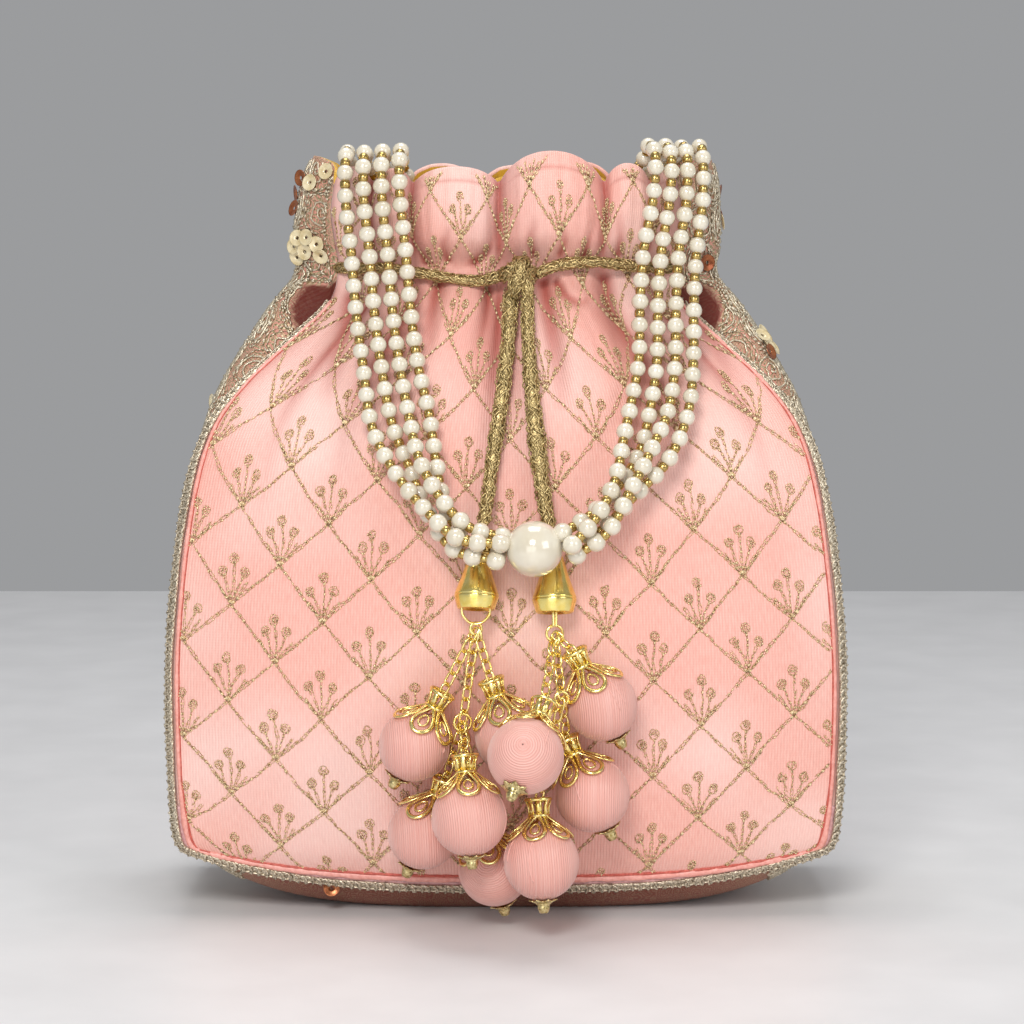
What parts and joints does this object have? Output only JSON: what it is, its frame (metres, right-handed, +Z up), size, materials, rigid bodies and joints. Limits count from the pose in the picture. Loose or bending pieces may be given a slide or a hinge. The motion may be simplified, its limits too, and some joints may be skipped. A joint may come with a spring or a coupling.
{
  "type": "potli bag",
  "caption": "Gathered silk drawstring pouch with embroidered panels, a lace gusset, a twisted pearl-string handle and thread-ball tassels on bell-ended cords.",
  "frame": {"origin": "middle of the flat base of the gusset, on the surface that the bag stands on", "axes": "+Z up, front towards -Y, +X to the right seen from the front"},
  "size_m": [0.2024, 0.1362, 0.2294],
  "materials": {
    "silk": "satin",
    "lace": "satin",
    "lining": "satin",
    "braid": "satin",
    "cord": "satin",
    "pearl": "gloss",
    "gold": "polished",
    "thread": "satin"
  },
  "bodies": {
    "root": {"front_panel": "silk", "back_panel": "silk", "gusset": "lace", "lining": "lining", "braid_front": "braid", "braid_back": "braid", "drawstring": "cord", "drawstring_knot": "cord", "cord_tail_left": "cord", "cord_tail_right": "cord", "pearl_string_left_1": "pearl", "pearl_string_left_2": "pearl", "pearl_string_left_3": "pearl", "pearl_string_left_4": "pearl", "pearl_string_right_1": "pearl", "pearl_string_right_2": "pearl", "pearl_string_right_3": "pearl", "pearl_string_right_4": "pearl", "big_pearl": "pearl", "bell_left": "gold", "bell_right": "gold", "chains_left": "gold", "chains_right": "gold", "ball_1": "thread", "ball_2": "thread", "ball_3": "thread", "ball_4": "thread", "ball_5": "thread", "ball_6": "thread", "ball_7": "thread", "ball_8": "thread", "ball_9": "thread", "ball_cap_1": "gold", "ball_cap_2": "gold", "ball_cap_3": "gold", "ball_cap_4": "gold", "ball_cap_5": "gold", "ball_cap_6": "gold", "ball_cap_7": "gold", "ball_cap_8": "gold", "ball_cap_9": "gold", "ball_tip_1": "gold", "ball_tip_2": "gold", "ball_tip_3": "gold", "ball_tip_4": "gold", "ball_tip_5": "gold", "ball_tip_6": "gold", "ball_tip_7": "gold", "ball_tip_8": "gold", "ball_tip_9": "gold"}
  },
  "joints": []
}
